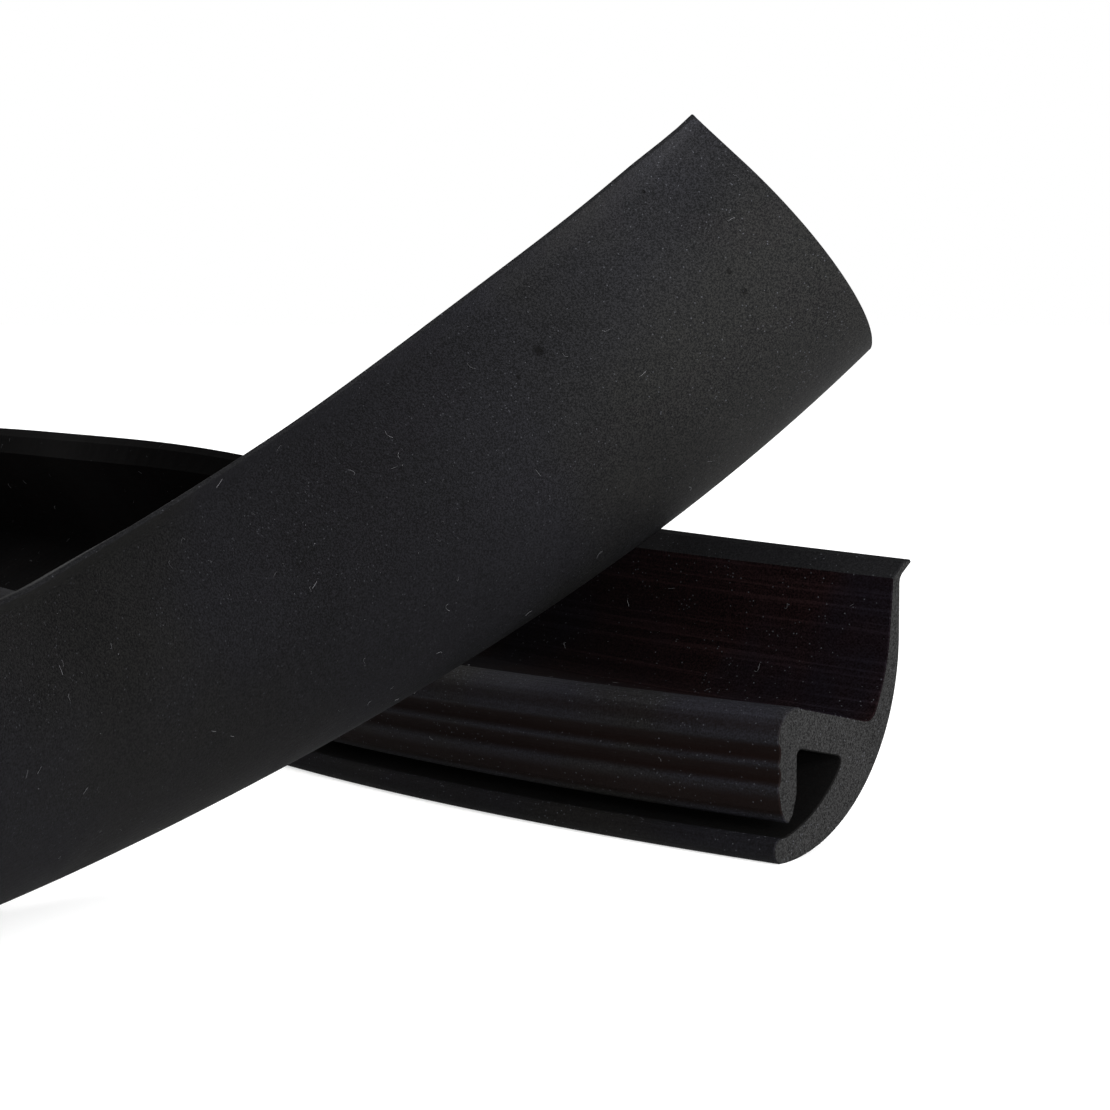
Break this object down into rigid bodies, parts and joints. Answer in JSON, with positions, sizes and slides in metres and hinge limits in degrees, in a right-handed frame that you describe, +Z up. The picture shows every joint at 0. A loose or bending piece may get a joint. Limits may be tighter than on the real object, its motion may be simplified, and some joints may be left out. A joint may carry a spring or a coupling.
{
  "type": "windshield trim strip",
  "caption": "Length of black rubber windshield trim bent into an open loop: a curved cap with a thin lip, and a web and ribbed leg that form an edge channel.",
  "frame": {"origin": "middle of the loop's footprint, on the floor that the strip lies on", "axes": "+Z up, +X along the loop's longer extent towards the two free ends, +Y away from the side where the strip's smooth outer face shows in front of the crossing"},
  "size_m": [0.5244, 0.4568, 0.0659],
  "materials": {
    "rubber": "matt black extruded rubber with a fine grain"
  },
  "bodies": {
    "root": {"trim_strip": "rubber"}
  },
  "joints": []
}
